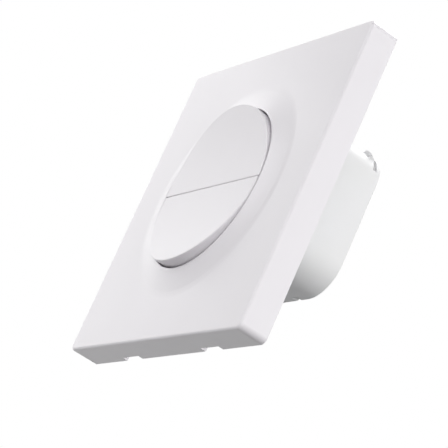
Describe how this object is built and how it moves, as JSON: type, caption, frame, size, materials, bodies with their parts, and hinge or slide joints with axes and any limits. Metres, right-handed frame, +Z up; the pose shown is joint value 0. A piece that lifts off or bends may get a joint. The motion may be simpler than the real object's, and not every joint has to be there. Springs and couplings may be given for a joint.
{
  "type": "smart wall switch",
  "caption": "Flush smart wall switch: square frame with a raised cone round half-round rocker keys, module box with screw terminals behind.",
  "frame": {"origin": "middle of the wall box's screw pattern, on the wall plane (the yoke's back)", "axes": "+Z up, +Y into the wall, the keys face -Y, +X to the right seen from the front"},
  "size_m": [0.086, 0.0347, 0.086],
  "materials": {
    "white_satin": "satin white moulded plastic",
    "white_key": "satin white moulded plastic",
    "white_box": "fine matt white moulded plastic",
    "carrier_plastic": "light grey moulded plastic",
    "zinc_steel": "zinc plated sheet",
    "screw_steel": "bright plated",
    "clamp_brass": "nickel flashed brass",
    "board_green": "solder resist on glass laminate",
    "black_plastic": "black moulded plastic",
    "relay_blue": "blue moulded case",
    "ferrite": "dark sintered ferrite",
    "winding_tape": "yellow tape over copper winding",
    "capacitor_sleeve": "shrink sleeve",
    "film_yellow": "potted box",
    "varistor_blue": "dipped coating",
    "shield_metal": "tinned can",
    "dome_steel": "spring steel"
  },
  "bodies": {
    "wall_unit": {"cover_frame": "white_satin", "key_carrier": "carrier_plastic", "mounting_yoke": "zinc_steel", "housing_screws": "screw_steel", "module_housing": "white_box", "rear_cover": "white_box", "terminal_block": "white_box", "terminal_insulator": "carrier_plastic", "terminal_clamps": "clamp_brass", "terminal_screws": "screw_steel", "control_board": "board_green", "power_board": "board_green", "upper_switch_body": "black_plastic", "lower_switch_body": "black_plastic", "upper_contact_dome": "dome_steel", "lower_contact_dome": "dome_steel", "left_relay": "relay_blue", "right_relay": "relay_blue", "transformer_core": "ferrite", "transformer_coil": "winding_tape", "film_capacitor": "film_yellow", "bulk_capacitor": "capacitor_sleeve", "surge_varistor": "varistor_blue", "line_fuse": "black_plastic", "radio_module": "board_green", "radio_shield": "shield_metal", "radio_antenna": "carrier_plastic", "controller_chip": "black_plastic", "board_connector": "black_plastic"},
    "upper_key": {"upper_key": "white_key"},
    "lower_key": {"lower_key": "white_key"},
    "upper_plunger": {"upper_plunger": "black_plastic"},
    "lower_plunger": {"lower_plunger": "black_plastic"}
  },
  "joints": [
    {"name": "upper_key_press", "type": "hinge", "parent": "wall_unit", "child": "upper_key", "pos_m": [0, -0.0055, 0.0032], "axis": [-1, 0, 0], "range_deg": [0, 2.7], "stiffness_Nm_per_rad": 0.08, "springref_deg": -5.73},
    {"name": "lower_key_press", "type": "hinge", "parent": "wall_unit", "child": "lower_key", "pos_m": [0, -0.0055, -0.0032], "axis": [1, 0, 0], "range_deg": [0, 2.7], "stiffness_Nm_per_rad": 0.08, "springref_deg": -5.73},
    {"name": "upper_plunger_travel", "type": "slide", "parent": "wall_unit", "child": "upper_plunger", "axis": [0, 1, 0], "range_m": [0, 0.0003]},
    {"name": "lower_plunger_travel", "type": "slide", "parent": "wall_unit", "child": "lower_plunger", "axis": [0, 1, 0], "range_m": [0, 0.0003]}
  ],
  "couplings": [
    {"joint": "upper_plunger_travel", "follows": "upper_key_press", "m_per_rad": 0.0063},
    {"joint": "lower_plunger_travel", "follows": "lower_key_press", "m_per_rad": 0.0063}
  ]
}
